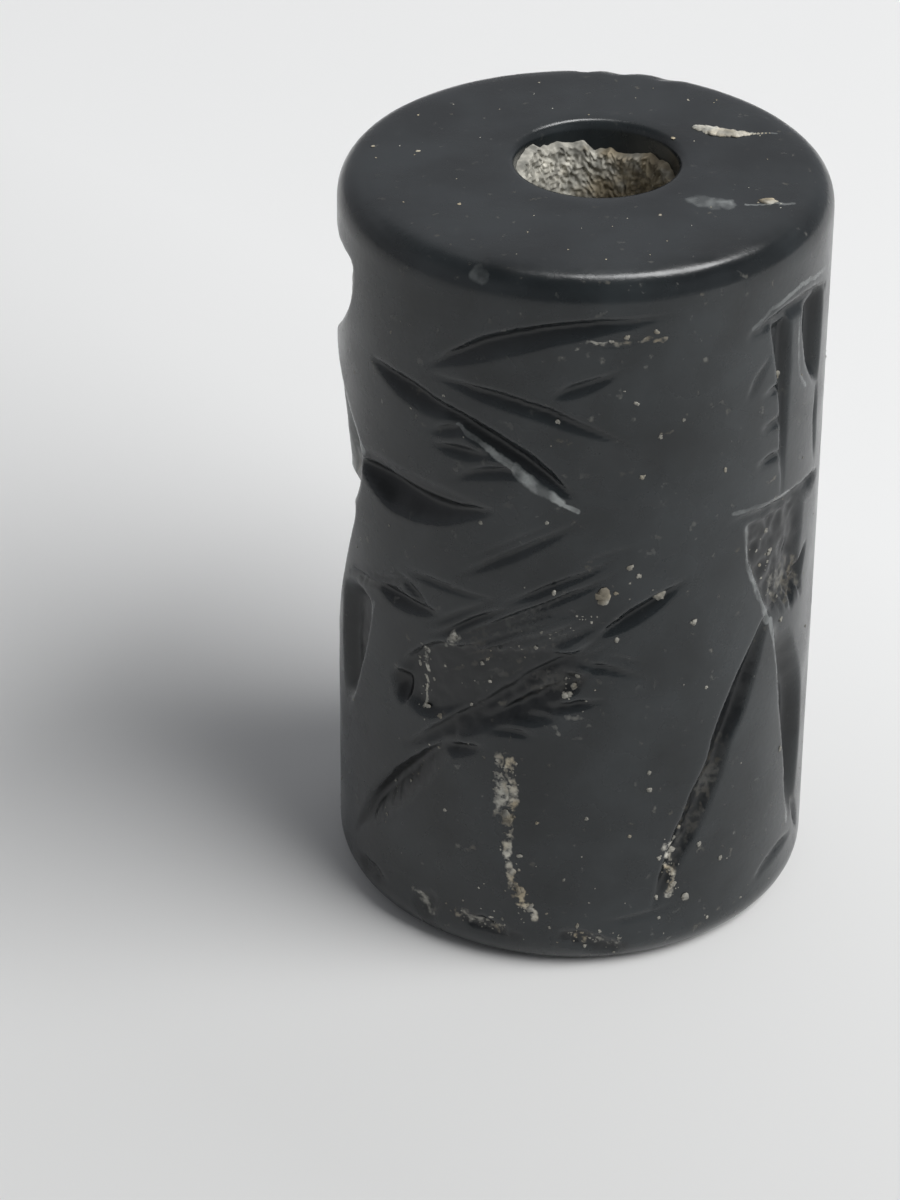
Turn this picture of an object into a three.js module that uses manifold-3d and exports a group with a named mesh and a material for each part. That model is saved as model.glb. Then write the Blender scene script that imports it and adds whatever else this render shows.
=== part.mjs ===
// Cylinder seal: a short cylinder of black stone, bored from end to end, with a scene cut into its wall.
// Rolled over soft clay, the wall prints the scene in relief.
// Millimetres, +Z up. The seal stands on its end, with the origin at the middle of its underside.

import * as THREE from 'three';
import { mergeVertices } from 'three/addons/utils/BufferGeometryUtils.js';
import Module from 'manifold-3d';

const wasm = await Module();
wasm.setup();

// Driving dimensions of the turned stone.
const sealLength = 20.3;
const sealDiameter = 12.5;

// The two rounded edges. Fullness 2 is a true oval, and more is a squarer shoulder.
const topEdge = { width: 0.85, height: 0.85, fullness: 2.4 };
const bottomEdge = { width: 0.9, height: 0.9, fullness: 2 };

// The bore for the cord or pin. It was drilled a little off the middle of the stone.
const boreDiameter = 4.1;
const boreShiftRight = 0.29;
const boreShiftBack = 0.54;
const boreMouthChamfer = 0.18;

// The tools that cut the scene. Each leaves a groove of this width and depth where it bites deepest.
// Three sides cut a V, more sides cut a round trough.
const scratchPoint = { width: 0.2, depth: 0.07, sides: 3 };
const fineGraver = { width: 0.32, depth: 0.13, sides: 3 };
const mediumGraver = { width: 0.5, depth: 0.22, sides: 3 };
const broadGraver = { width: 0.85, depth: 0.34, sides: 3 };
const smallWheel = { width: 0.7, depth: 0.2, sides: 6 };
const largeWheel = { width: 1.1, depth: 0.34, sides: 6 };

// How finely the round forms are divided.
const wallSegments = 72;
const boreSegments = 32;
const edgeSteps = 5;
const strokeStep = 0.75;
const fewestStrokeSteps = 4;
const hollowSegments = 20;
const chipSegments = 8;
const chipRings = 6;

// How square the corners of a hollow are. A low power rounds them off.
const hollowCornerPower = 9;

// Cutters start this far outside the stone, so that they always reach past its surface.
const cutterClearance = 0.3;

const sealRadius = sealDiameter / 2;
const boreRadius = boreDiameter / 2;
const { degToRad } = THREE.MathUtils;

// A closed geometry as a solid. Seam vertices are merged, and the empty triangles at a pole are dropped.
function toSolid(geometry) {
  geometry.deleteAttribute('normal');
  geometry.deleteAttribute('uv');
  const merged = mergeVertices(geometry);
  const corners = merged.index.array;
  const kept = [];
  for (let i = 0; i < corners.length; i += 3) {
    const [a, b, c] = [corners[i], corners[i + 1], corners[i + 2]];
    if (a !== b && b !== c && c !== a) {
      kept.push(a, b, c);
    }
  }
  return new wasm.Manifold(new wasm.Mesh({
    numProp: 3,
    vertProperties: new Float32Array(merged.attributes.position.array),
    triVerts: new Uint32Array(kept),
  }));
}

// A solid as a geometry for a mesh.
function toGeometry(solid) {
  const { vertProperties, triVerts } = solid.getMesh();
  const geometry = new THREE.BufferGeometry();
  geometry.setAttribute('position', new THREE.BufferAttribute(vertProperties, 3));
  geometry.setIndex(new THREE.BufferAttribute(triVerts, 1));
  geometry.computeVertexNormals();
  return geometry;
}

// The points of a rounded edge in a profile, from one direction to another.
function roundedEdge(edge, centreHeight, fromDegrees, toDegrees) {
  const points = [];
  const power = 2 / edge.fullness;
  for (let step = 0; step <= edgeSteps; step += 1) {
    const angle = degToRad(THREE.MathUtils.lerp(fromDegrees, toDegrees, step / edgeSteps));
    const across = Math.abs(Math.cos(angle)) ** power;
    const aloft = Math.sign(Math.sin(angle)) * Math.abs(Math.sin(angle)) ** power;
    points.push(new THREE.Vector2(
      sealRadius - edge.width + edge.width * across,
      centreHeight + edge.height * aloft,
    ));
  }
  return points;
}

// The turned stone before it is bored and cut: a cylinder with a soft round at each end.
function turnedStone() {
  const profile = [
    new THREE.Vector2(0, 0),
    ...roundedEdge(bottomEdge, bottomEdge.height, -90, 0),
    ...roundedEdge(topEdge, sealLength - topEdge.height, 0, 90),
    new THREE.Vector2(0, sealLength),
  ];
  const geometry = new THREE.LatheGeometry(profile, wallSegments);
  geometry.rotateX(Math.PI / 2);
  return toSolid(geometry);
}

// The drill's path: straight through, a little wider at both mouths.
function boreCutter() {
  const mouthRadius = boreRadius + boreMouthChamfer;
  const profile = [
    new THREE.Vector2(0, -cutterClearance),
    new THREE.Vector2(mouthRadius + cutterClearance, -cutterClearance),
    new THREE.Vector2(boreRadius, boreMouthChamfer),
    new THREE.Vector2(boreRadius, sealLength - boreMouthChamfer),
    new THREE.Vector2(mouthRadius + cutterClearance, sealLength + cutterClearance),
    new THREE.Vector2(0, sealLength + cutterClearance),
  ];
  const geometry = new THREE.LatheGeometry(profile, boreSegments);
  geometry.rotateX(Math.PI / 2);
  geometry.translate(boreShiftRight, boreShiftBack, 0);
  return toSolid(geometry);
}

// A place on the wall, unrolled flat. Degrees run round the axis from the front, -Y, and grow to the
// right. Height is in hundredths of the seal's length.
function onWall([degrees, height]) {
  return new THREE.Vector2(degToRad(degrees) * sealRadius, sealLength * height / 100);
}

// A point of the unrolled wall, some way above the stone, carried back round the cylinder.
function wrapRound(place, above) {
  const angle = place.x / sealRadius;
  const radius = sealRadius + above;
  return new THREE.Vector3(radius * Math.sin(angle), -radius * Math.cos(angle), place.y);
}

// How deep a stroke bites along its length: nothing at its ends, most at the share called full.
function bite(share, full) {
  const run = share < full ? share / full : (1 - share) / (1 - full);
  return Math.sin(run * Math.PI / 2);
}

// One stroke of a tool: a spindle whose axis runs just clear of the stone, so that its belly cuts a
// groove with pointed ends. It follows an arc that bows to the left of its travel, and lean pushes the
// deepest line to the same side, up to the lip of the groove.
function stroke(tool, from, to, { bow = 0, full = 0.5, lean = 0, wide = 1, deep = 1 } = {}) {
  const start = onWall(from);
  const end = onWall(to);
  const travel = end.clone().sub(start);
  const left = new THREE.Vector2(-travel.y, travel.x).normalize();
  const middle = start.clone().lerp(end, 0.5).addScaledVector(left, 2 * bow);
  const path = new THREE.QuadraticBezierCurve(start, middle, end);

  const depth = tool.depth * deep;
  const halfWidth = tool.width * wide / 2;
  const reach = cutterClearance + depth;
  const spindleHalfWidth = tool.sides === 3
    ? depth / Math.sqrt(3)
    : Math.sqrt(reach ** 2 - cutterClearance ** 2);
  const stretch = halfWidth / spindleHalfWidth;
  const slant = lean * halfWidth / depth;

  const steps = Math.max(fewestStrokeSteps, Math.round(travel.length() / strokeStep));
  const tip = cutterClearance / travel.length();
  const profile = [new THREE.Vector2(0, -tip)];
  for (let step = 0; step <= steps; step += 1) {
    const share = step / steps;
    profile.push(new THREE.Vector2(cutterClearance + depth * bite(share, full), share));
  }
  profile.push(new THREE.Vector2(0, 1 + tip));

  const geometry = new THREE.LatheGeometry(profile, tool.sides, Math.PI);
  const position = geometry.attributes.position;
  for (let i = 0; i < position.count; i += 1) {
    const share = THREE.MathUtils.clamp(position.getY(i), 0, 1);
    const above = cutterClearance + position.getZ(i);
    const along = path.getTangent(share);
    const place = path.getPoint(share)
      .addScaledVector(along, (position.getY(i) - share) * travel.length());
    const across = stretch * position.getX(i) + slant * above;
    place.x += along.y * across;
    place.y -= along.x * across;
    const corner = wrapRound(place, above);
    position.setXYZ(i, corner.x, corner.y, corner.z);
  }
  return toSolid(geometry);
}

// A broad hollow with a many-sided outline: flat in its middle, climbing from the share called flat to a
// lip that follows the outline. The side nearest the middle is the steepest.
function hollow(outline, middle, depth, flat) {
  const centre = onWall(middle);
  const corners = outline.map((corner) => onWall(corner).sub(centre));
  const sides = corners.map((corner, i) => {
    const side = corners[(i + 1) % corners.length].clone().sub(corner);
    const outwards = new THREE.Vector2(side.y, -side.x).normalize();
    return outwards.divideScalar(corner.dot(outwards));
  });
  const beyondLip = 1.06;
  const profile = [
    new THREE.Vector2(0, -depth),
    new THREE.Vector2(flat / 2, -depth),
    new THREE.Vector2(flat, -depth),
    new THREE.Vector2((1 + flat) / 2, -depth / 2),
    new THREE.Vector2(1, 0),
    new THREE.Vector2(beyondLip, cutterClearance),
    new THREE.Vector2(0, cutterClearance),
  ];
  const geometry = new THREE.LatheGeometry(profile, hollowSegments);
  const position = geometry.attributes.position;
  for (let i = 0; i < position.count; i += 1) {
    const offset = new THREE.Vector2(position.getX(i), -position.getZ(i));
    const share = offset.length();
    const direction = offset.clone().normalize();
    const gauge = sides.reduce(
      (sum, side) => sum + Math.max(direction.dot(side), 0) ** hollowCornerPower,
      0,
    ) ** (1 / hollowCornerPower);
    const place = centre.clone();
    if (share > 0) {
      place.addScaledVector(direction, share / gauge);
    }
    const corner = wrapRound(place, position.getY(i));
    position.setXYZ(i, corner.x, corner.y, corner.z);
  }
  return toSolid(geometry);
}

// A flake lost from the bottom edge: a flat lump that bites into the rounding.
function bottomChip(degrees, slopeDegrees, wide, tall, depth) {
  const geometry = new THREE.SphereGeometry(1, chipSegments, chipRings);
  geometry.scale(wide / 2, depth * 2, tall / 2);
  const slope = degToRad(slopeDegrees);
  const outwards = bottomEdge.width + depth;
  geometry.rotateX(slope);
  geometry.translate(
    0,
    -(sealRadius - bottomEdge.width + outwards * Math.cos(slope)),
    bottomEdge.height - outwards * Math.sin(slope),
  );
  geometry.rotateZ(degToRad(degrees));
  return toSolid(geometry);
}

// Long strokes that fan out to the right from one point, like the feathers of an open wing.
function openWing() {
  const root = [-41, 84.2];
  return [
    stroke(mediumGraver, root, [22, 94.8], { bow: 0.62, full: 0.36, lean: 0.3, wide: 1.35, deep: 1.3 }),
    stroke(scratchPoint, [-3, 91.6], [16, 92.1], { wide: 1.2 }),
    stroke(fineGraver, root, [16, 75.6], { bow: 0.46, full: 0.42, lean: 0.3, wide: 1.5, deep: 1.5 }),
    stroke(fineGraver, [-9.5, 84.1], [10, 88.6], { full: 0.35, wide: 1.3, deep: 1.3 }),
    stroke(broadGraver, [-59, 82], [-26, 78.6], { full: 0.45, wide: 0.8, deep: 0.9, lean: 0.2 }),
    stroke(broadGraver, [-45, 81.6], [-1, 70.2], { bow: 0.26, full: 0.6, wide: 0.95, deep: 1.15 }),
    stroke(fineGraver, [-39, 75.9], [-26, 78.8], { wide: 1.3, deep: 1.4 }),
    stroke(fineGraver, [-38, 74.5], [-19, 75.2], { full: 0.4, wide: 1.25, deep: 1.4 }),
    stroke(fineGraver, [-33, 69.7], [-9.5, 72.2], { bow: 0.42, wide: 1.3, deep: 1.3 }),
  ];
}

// The deep boat-shaped arm that reaches in from the left, and the folds below it.
function reachingArm() {
  return [
    stroke(largeWheel, [-67, 66], [-19.5, 67.9], { bow: -0.36, full: 0.33, deep: 1.7 }),
    stroke(fineGraver, [-32, 56.6], [1, 68], { wide: 1.3, deep: 1.3 }),
    stroke(mediumGraver, [-57, 50.4], [-33, 51], { bow: -0.14, full: 0.4, wide: 1.1, deep: 1.3 }),
    stroke(fineGraver, [-73, 47.1], [-54, 50], { bow: 0.1, wide: 0.9 }),
    stroke(fineGraver, [-50, 54.2], [-37, 50.2], { bow: 0.08, wide: 0.9, deep: 1.1 }),
    stroke(fineGraver, [-47, 55.2], [-18, 54.7], { full: 0.35, wide: 0.8 }),
    stroke(scratchPoint, [-3, 60.5], [15, 63.4], { bow: 0.15, wide: 1.3 }),
  ];
}

// A beast rearing from the lower left to the middle: its long body, a bent leg, a wing and its horns.
function rearingBeast() {
  const body = [
    [-50.5, 45.5], [-37, 46.4], [-19, 54], [2, 61.3], [16, 63],
    [24, 58.5], [8, 50], [-12, 43], [-32, 33.5], [-46, 33.5],
  ];
  return [
    hollow(body, [-20, 46.5], 0.2, 0.82),
    stroke(smallWheel, [-65, 10.5], [-31, 34], { wide: 1.15, deep: 1.2 }),
    stroke(smallWheel, [-48, 27], [7, 50.5], { full: 0.6, wide: 1.25, deep: 1.6 }),
    stroke(mediumGraver, [-39, 29.8], [-22, 32.9], { wide: 0.9, deep: 1.2 }),
    stroke(mediumGraver, [-20, 38.6], [8, 41.7], { full: 0.4, wide: 0.85, deep: 1.1 }),
    stroke(mediumGraver, [-17, 37.1], [-4.5, 38.8], { bow: 0.1, wide: 0.85, deep: 1.1 }),
    stroke(fineGraver, [-24, 35], [-9, 35.2], { bow: 0.18, wide: 1.1, deep: 1.2 }),
    stroke(fineGraver, [-5, 46.9], [18, 42.9], { bow: 0.22, full: 0.3, wide: 1.1, deep: 1.2 }),
    stroke(mediumGraver, [2, 50.4], [26, 57.9], { full: 0.45, deep: 1.2 }),
  ];
}

// A figure in a long robe, striding to the right: headdress, face, beard, belt, skirt and two legs.
function stridingFigure() {
  const face = [[45.3, 90.2], [53.7, 90.4], [53.2, 79], [50.8, 76.5]];
  const hair = [[58, 88.5], [60, 90.3], [71.5, 90], [72.5, 82], [71.5, 75.5], [69, 75.2], [61, 80.6]];
  const skirt = [
    [40, 63.2], [66, 62.3], [67, 57], [62, 46.5], [54, 45.5], [49, 47], [45.5, 52.5], [41, 57],
  ];
  const hindLeg = [[52, 47], [66, 10.5], [71.5, 11.5], [74, 22], [71, 33], [62, 43]];
  const cuts = [
    stroke(mediumGraver, [37, 89.2], [76, 88.2], { bow: 0.22, lean: 0.3, wide: 1.1, deep: 1.1 }),
    hollow(face, [51, 86], 0.28, 0.45),
    stroke(mediumGraver, [51.3, 90.5], [53.2, 63.6], { full: 0.15, wide: 0.9, deep: 1.3 }),
    stroke(scratchPoint, [39, 80.4], [46.5, 85.6], { wide: 1.5, deep: 1.2 }),
    hollow(hair, [66, 84], 0.4, 0.5),
    stroke(fineGraver, [70, 77.5], [71.8, 63.5]),
    stroke(mediumGraver, [32, 64.3], [76, 61.1], { full: 0.85, lean: 0.3, wide: 1.15, deep: 1.1 }),
    hollow(skirt, [47, 57.5], 0.17, 0.75),
    stroke(mediumGraver, [69.5, 53.5], [61, 45.3], { bow: -0.15, full: 0.6, wide: 1.2, deep: 1.3 }),
    stroke(smallWheel, [52, 49.5], [30, 23], { bow: -0.12, lean: 0.3, wide: 1.1, deep: 1.5 }),
    stroke(smallWheel, [43, 38], [18, 7.5], { bow: -0.1, full: 0.45, lean: 0.3, wide: 1.05, deep: 1.2 }),
    hollow(hindLeg, [65, 28], 0.42, 0.45),
    stroke(fineGraver, [68, 15], [77, 6.2], { deep: 1.2 }),
    stroke(fineGraver, [48.5, 6.6], [70, 8.6], { bow: 0.15, full: 0.6, wide: 1.1, deep: 1.1 }),
  ];
  const beardLocks = 3;
  const beardTop = 80.2;
  const beardEdge = 54;
  const lockPitch = 4.9;
  const shortestLock = 10;
  for (let lock = 0; lock < beardLocks; lock += 1) {
    const height = beardTop - lock * lockPitch;
    const tip = beardEdge - shortestLock - lock;
    cuts.push(stroke(fineGraver, [tip, height], [beardEdge, height], { full: 0.6, deep: 1.2 }));
  }
  const skirtFolds = 5;
  const foldPitch = 2.6;
  const firstFold = [50, 55];
  const foldFall = [7, -9.5];
  for (let fold = 0; fold < skirtFolds; fold += 1) {
    const top = firstFold[0] + fold * foldPitch;
    const foot = [top + foldFall[0], firstFold[1] + foldFall[1]];
    cuts.push(stroke(scratchPoint, [top, firstFold[1]], foot, { wide: 1.4, deep: 3.6 }));
  }
  return cuts;
}

// A second figure on the left edge, seen from the side: a deep head, body and robe.
function facingFigure() {
  const head = [[-66.5, 92.6], [-69.5, 85.5], [-86, 77.6], [-106, 74.5], [-115, 84], [-108, 93]];
  const body = [[-96, 76.8], [-85, 77], [-62, 68.7], [-63.5, 59.5], [-84, 50], [-112, 49.5], [-103, 66.5]];
  const robe = [
    [-63.5, 60], [-68, 51.7], [-77, 43.2], [-85, 34], [-100, 32.5],
    [-118, 39], [-121, 46], [-113, 52], [-90, 62],
  ];
  const knee = [
    [-57.5, 47], [-59, 42.9], [-63, 36], [-67, 30.5], [-70, 27.5],
    [-76, 27], [-79, 36], [-76, 45], [-66, 48.5],
  ];
  return [
    hollow(head, [-88, 86], 0.5, 0.4),
    hollow(body, [-82, 63.5], 0.75, 0.4),
    hollow(robe, [-90, 47.5], 0.7, 0.45),
    hollow(knee, [-65.5, 38.5], 0.36, 0.62),
    stroke(largeWheel, [-112, 33], [-108, 9], { full: 0.4 }),
    stroke(largeWheel, [-98, 30], [-94, 9], { full: 0.4 }),
    stroke(mediumGraver, [-116, 7.6], [-90, 7.6]),
    stroke(broadGraver, [-117, 79], [-141, 65], { bow: 0.3, full: 0.4 }),
  ];
}

// A plant between the figures: one stem with slanting leaves in pairs.
function leafyPlant(degrees) {
  const leafPairs = 5;
  const lowestLeaf = 16;
  const leafPitch = 8.2;
  const leafSpread = 13;
  const leafRise = 7;
  const taperPerPair = 0.09;
  const stemFoot = 6;
  const stemTop = 62;
  const cuts = [stroke(mediumGraver, [degrees, stemFoot], [degrees, stemTop], { full: 0.3 })];
  for (let pair = 0; pair < leafPairs; pair += 1) {
    const height = lowestLeaf + pair * leafPitch;
    const spread = leafSpread * (1 - taperPerPair * pair);
    for (const side of [-1, 1]) {
      cuts.push(stroke(mediumGraver, [degrees, height], [degrees + side * spread, height + leafRise]));
    }
  }
  return cuts;
}

// A star of crossing strokes.
function star(degrees, height) {
  const crossings = 4;
  const rayLength = 1.5;
  const cuts = [];
  for (let crossing = 0; crossing < crossings; crossing += 1) {
    const turn = Math.PI * crossing / crossings;
    const aside = THREE.MathUtils.radToDeg(rayLength * Math.cos(turn) / sealRadius);
    const aloft = 100 * rayLength * Math.sin(turn) / sealLength;
    cuts.push(stroke(fineGraver, [degrees - aside, height - aloft], [degrees + aside, height + aloft]));
  }
  return cuts;
}

// A new moon lying on its back.
function crescent(degrees, height) {
  const halfSpan = 14;
  return [
    stroke(largeWheel, [degrees - halfSpan, height], [degrees + halfSpan, height], { bow: -0.55, wide: 0.8 }),
  ];
}

// The plainer back of the scene: a plant, a star, a crescent and a staff with two cross-strokes.
function backOfScene() {
  return [
    ...leafyPlant(-160),
    ...crescent(-160, 84),
    ...star(-196, 80),
    stroke(broadGraver, [-200, 62], [-208, 9], { full: 0.3 }),
    stroke(mediumGraver, [-213, 57], [-190, 54], { bow: 0.15 }),
    stroke(mediumGraver, [-215, 50], [-192, 47], { bow: 0.15 }),
    stroke(broadGraver, [-226, 88], [-256, 74], { bow: 0.4, full: 0.4 }),
    stroke(mediumGraver, [-228, 79], [-252, 68], { bow: 0.3, full: 0.4 }),
    stroke(smallWheel, [-232, 14], [-262, 45]),
    stroke(mediumGraver, [-240, 40], [-262, 57]),
  ];
}

// The line that the figures stand on, cut here and there.
function groundLine() {
  return [
    stroke(scratchPoint, [3, 7.2], [27, 8.6], { wide: 1.3, deep: 1.3 }),
    stroke(scratchPoint, [-200, 6], [-150, 5.6], { wide: 1.4 }),
  ];
}

// Flakes lost from the bottom edge.
function edgeChips() {
  return [
    bottomChip(5, 35, 2.1, 1, 0.14),
    bottomChip(-22, 25, 2, 0.8, 0.12),
    bottomChip(-38.5, 15, 1.1, 0.9, 0.13),
    bottomChip(118, 40, 1.6, 0.9, 0.12),
  ];
}

// The finished stone: turned, bored, cut and chipped.
function carvedStone() {
  const cuts = [
    boreCutter(),
    ...openWing(),
    ...reachingArm(),
    ...rearingBeast(),
    ...stridingFigure(),
    ...facingFigure(),
    ...backOfScene(),
    ...groundLine(),
    ...edgeChips(),
  ];
  let stone = turnedStone();
  for (const cut of cuts) {
    stone = stone.subtract(cut);
  }
  return toGeometry(stone);
}

const blackStone = new THREE.MeshStandardMaterial({ color: 0x23262b, roughness: 0.38, metalness: 0 });

const sealStone = new THREE.Mesh(carvedStone(), blackStone);
sealStone.name = 'seal_stone';

const cylinderSeal = new THREE.Group();
cylinderSeal.add(sealStone);

export default cylinderSeal;
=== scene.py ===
"""A cylinder seal of black stone, standing on its end: the bored stone with its carved wall, the earth
in its bore, the crumbs of earth on its wall, and the floor, lights and camera. Shapes are worked out in
millimetres and turned into metres when a mesh is made."""

import bpy
import numpy as np
from mathutils import Matrix, Vector


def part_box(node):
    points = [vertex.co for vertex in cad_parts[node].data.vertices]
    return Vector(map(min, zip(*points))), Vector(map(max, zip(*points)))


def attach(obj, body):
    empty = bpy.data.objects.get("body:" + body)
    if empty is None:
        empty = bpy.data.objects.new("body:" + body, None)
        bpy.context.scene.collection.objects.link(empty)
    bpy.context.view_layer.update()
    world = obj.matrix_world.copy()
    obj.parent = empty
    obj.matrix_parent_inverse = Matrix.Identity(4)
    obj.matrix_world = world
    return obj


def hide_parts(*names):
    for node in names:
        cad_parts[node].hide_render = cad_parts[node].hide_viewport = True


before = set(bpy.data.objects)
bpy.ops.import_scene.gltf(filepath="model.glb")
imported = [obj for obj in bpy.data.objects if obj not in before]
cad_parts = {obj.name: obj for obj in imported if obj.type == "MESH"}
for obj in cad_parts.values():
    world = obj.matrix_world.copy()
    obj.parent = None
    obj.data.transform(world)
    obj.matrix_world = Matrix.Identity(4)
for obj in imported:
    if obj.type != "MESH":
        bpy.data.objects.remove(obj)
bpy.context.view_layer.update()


# The stone
# The seal is one short cylinder of black stone, turned and polished, bored from end to end a little off
# its middle, and cut with gravers and small wheels. Its wall, ends and bore are one closed skin here.
MILLIMETRE = 0.001
stone_low, stone_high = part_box("seal_stone")
stone_radius = (stone_high.x - stone_low.x) / 2 / MILLIMETRE
stone_length = (stone_high.z - stone_low.z) / MILLIMETRE
top_edge_width, top_edge_height = 0.85, 0.85
top_edge_fullness = 2.4
bottom_edge_radius = 0.9
bore_radius = 2.05
bore_middle = np.array([0.29, 0.54])
bore_mouth_chamfer = 0.24
past_the_wall = 9.0


def column_angles(front_columns=300, back_columns=96, front_half=101.0):
    """Degrees round the axis, 0 at the front and growing to the right: an even run of columns across
    the carved front and a wider even run behind, closed on itself."""
    front = np.linspace(-front_half, front_half, front_columns, endpoint=False)
    back = np.linspace(front_half, 360 - front_half, back_columns, endpoint=False)
    return np.concatenate([front, back])


def profile_rows(wall_step=0.0915, under_rows=3, low_edge_rows=9, high_edge_rows=14, top_rows=8,
                 mouth_rows=3, bore_rows=8):
    """The skin's profile as rows of (share of the way to the bore's middle, radius, height, outward
    radius, outward height, level), from the bottom mouth of the bore, out under the stone, up the wall,
    in over the top and down the bore. Level is height on the wall, carried on round the two edges by
    arc length, and in the bore it is far past the wall's, so that no cut reaches there."""
    rows = []
    mouth = bore_radius + bore_mouth_chamfer
    flat_bottom = stone_radius - bottom_edge_radius
    flat_top = stone_radius - top_edge_width
    for share in np.linspace(0, 1, under_rows + 1)[:-1]:
        radius = mouth + (flat_bottom - mouth) * share
        level = bottom_edge_radius * (1 - np.pi / 2) - (flat_bottom - radius)
        rows.append((1 - share, radius, 0.0, 0, -1, level))
    for turn in np.linspace(0, np.pi / 2, low_edge_rows, endpoint=False):
        out, down = np.sin(turn), np.cos(turn)
        level = bottom_edge_radius * (1 - (np.pi / 2 - turn))
        rows.append((0, flat_bottom + bottom_edge_radius * out, bottom_edge_radius * (1 - down),
                     out, -down, level))
    wall_top = stone_length - top_edge_height
    wall_rows = int(round((wall_top - bottom_edge_radius) / wall_step))
    for height in np.linspace(bottom_edge_radius, wall_top, wall_rows, endpoint=False):
        rows.append((0, stone_radius, height, 1, 0, height))
    for turn in np.linspace(0, np.pi / 2, high_edge_rows, endpoint=False):
        across = np.cos(turn) ** (2 / top_edge_fullness)
        aloft = np.sin(turn) ** (2 / top_edge_fullness)
        facing = np.array([across ** (top_edge_fullness - 1) / top_edge_width,
                           aloft ** (top_edge_fullness - 1) / top_edge_height])
        out, rise = facing / np.hypot(*facing)
        rows.append((0, flat_top + top_edge_width * across, wall_top + top_edge_height * aloft,
                     out, rise, wall_top + top_edge_height * turn))
    for share in np.linspace(0, 1, top_rows):
        radius = flat_top + (mouth - flat_top) * share
        level = wall_top + top_edge_height * np.pi / 2 + flat_top - radius
        rows.append((share, radius, stone_length, 0, 1, level))
    for share in np.linspace(0, 1, mouth_rows + 1)[1:]:
        turn = share * np.pi / 2
        rows.append((1, mouth - bore_mouth_chamfer * np.sin(turn),
                     stone_length - bore_mouth_chamfer * (1 - np.cos(turn)),
                     -np.sin(turn), np.cos(turn), stone_length + past_the_wall))
    inner_top = stone_length - bore_mouth_chamfer
    for share in np.linspace(0, 1, bore_rows + 1)[1:-1]:
        height = inner_top + (bore_mouth_chamfer - inner_top) * share
        rows.append((1, bore_radius, height, -1, 0, stone_length + past_the_wall))
    for share in np.linspace(0, 1, mouth_rows)[:-1]:
        turn = share * np.pi / 2
        rows.append((1, mouth - bore_mouth_chamfer * np.cos(turn),
                     bore_mouth_chamfer * (1 - np.sin(turn)), -np.cos(turn), -np.sin(turn), -past_the_wall))
    return np.array(rows)


def smooth_noise(across, up, across_cells, up_cells, seed):
    """Even noise from -1 to 1 over two shares: a lattice of random heights, closed on itself both ways,
    read between its points with the soft step 3t^2 - 2t^3."""
    lattice = np.random.default_rng(seed).uniform(-1, 1, (up_cells, across_cells))
    column, row = across * across_cells, up * up_cells
    column_cell, row_cell = np.floor(column).astype(int), np.floor(row).astype(int)
    column_part, row_part = column - column_cell, row - row_cell
    column_part = column_part ** 2 * (3 - 2 * column_part)
    row_part = row_part ** 2 * (3 - 2 * row_part)
    left, right = column_cell % across_cells, (column_cell + 1) % across_cells
    below, above = row_cell % up_cells, (row_cell + 1) % up_cells
    low = lattice[below, left] * (1 - column_part) + lattice[below, right] * column_part
    high = lattice[above, left] * (1 - column_part) + lattice[above, right] * column_part
    return low * (1 - row_part) + high * row_part


def wall_noise(cell, seed):
    """Noise from -1 to 1 over the whole skin, in cells of so many millimetres."""
    across_cells = int(round(2 * np.pi * stone_radius / cell))
    up_cells = int(round(stone_length / cell))
    return smooth_noise(skin_angle / 360, skin_level / stone_length, across_cells, up_cells, seed)


def soft_step(share):
    """0 below 0, 1 above 1 and 3t^2 - 2t^3 between."""
    share = np.clip(share, 0, 1)
    return share ** 2 * (3 - 2 * share)


angles = column_angles()
rows = profile_rows()
skin_angle, skin_level = np.meshgrid(angles, rows[:, 5])
skin_cut = np.zeros(skin_angle.shape)
skin_rough = np.zeros(skin_angle.shape)
skin_earth = np.zeros(skin_angle.shape)

# A hand-held wheel wanders, so the wall that it meets is read a little off true.
long_wander, short_wander = 0.035, 0.013
wander_across = long_wander * wall_noise(0.9, 11) + short_wander * wall_noise(0.3, 12)
wander_up = long_wander * wall_noise(0.9, 13) + short_wander * wall_noise(0.3, 14)

# Each tool leaves a groove of this width and depth in millimetres where it bites deepest. Sharp is 1
# for a V and more for a round or flat trough.
scratch_point = {"width": 0.2, "depth": 0.07, "sharp": 1.0}
fine_graver = {"width": 0.32, "depth": 0.13, "sharp": 1.0}
medium_graver = {"width": 0.5, "depth": 0.22, "sharp": 1.1}
broad_graver = {"width": 0.85, "depth": 0.34, "sharp": 1.1}
small_wheel = {"width": 0.7, "depth": 0.2, "sharp": 2.2}
large_wheel = {"width": 1.1, "depth": 0.34, "sharp": 1.5}


# How far round a cut the skin is searched, past the cut's own width, because the wall wanders.
spare = 0.2


def unrolled(place, middle_angle):
    """A place on the wall, in degrees and hundredths of the length, as millimetres across from a middle
    angle and up."""
    degrees, height = np.asarray(place, float).T
    return np.stack([np.radians(degrees - middle_angle) * stone_radius, height / 100 * stone_length], -1)


def skin_near(middle_angle, low, high):
    """The corners of the skin inside a flat box on the unrolled wall, and their wandered places."""
    across = np.radians((skin_angle - middle_angle + 180) % 360 - 180) * stone_radius
    near = ((across > low[0]) & (across < high[0]) & (skin_level > low[1]) & (skin_level < high[1]))
    return near, np.stack([across[near] + wander_across[near], skin_level[near] + wander_up[near]], 1)


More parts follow.
